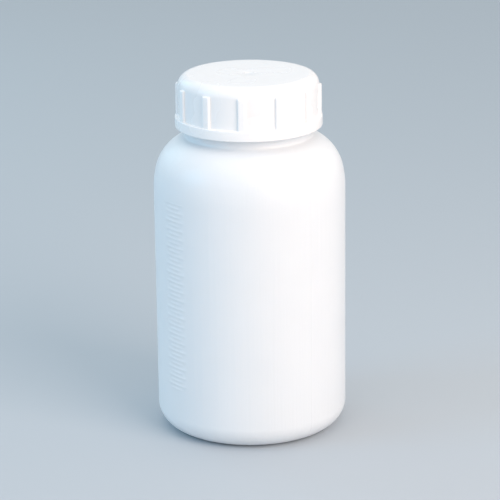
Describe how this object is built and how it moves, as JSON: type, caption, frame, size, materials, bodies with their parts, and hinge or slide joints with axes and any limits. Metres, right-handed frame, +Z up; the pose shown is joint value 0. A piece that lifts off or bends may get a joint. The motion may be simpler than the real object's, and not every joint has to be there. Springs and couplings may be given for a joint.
{
  "type": "wide-mouth bottle",
  "caption": "Round wide-mouth laboratory bottle with a ribbed screw cap and a sealing liner, for storing powders and liquids.",
  "frame": {"origin": "centre of the bottle's base, on the surface it stands on", "axes": "+Z up along the bottle's axis of turning; -Y faces the picture's camera, and +X is to its right"},
  "size_m": [0.142, 0.142, 0.2691],
  "materials": {
    "bottle_plastic": "satin, slightly translucent white polyethylene",
    "cap_plastic": "smooth white moulded plastic",
    "liner_foam": "soft closed-cell foam, off-white"
  },
  "bodies": {
    "bottle": {"bottle": "bottle_plastic"},
    "liner": {"sealing_liner": "liner_foam"},
    "cap": {"screw_cap": "cap_plastic"}
  },
  "joints": [
    {"name": "cap_lift", "type": "slide", "parent": "bottle", "child": "liner", "axis": [0, 0, 1], "range_m": [0, 0.0401]},
    {"name": "cap_turn", "type": "hinge", "parent": "liner", "child": "cap", "pos_m": [0, 0, 0.25], "axis": [0, 0, 1], "range_deg": [0, 1800]}
  ],
  "couplings": [
    {"joint": "cap_lift", "follows": "cap_turn", "m_per_rad": 0.0012732}
  ]
}
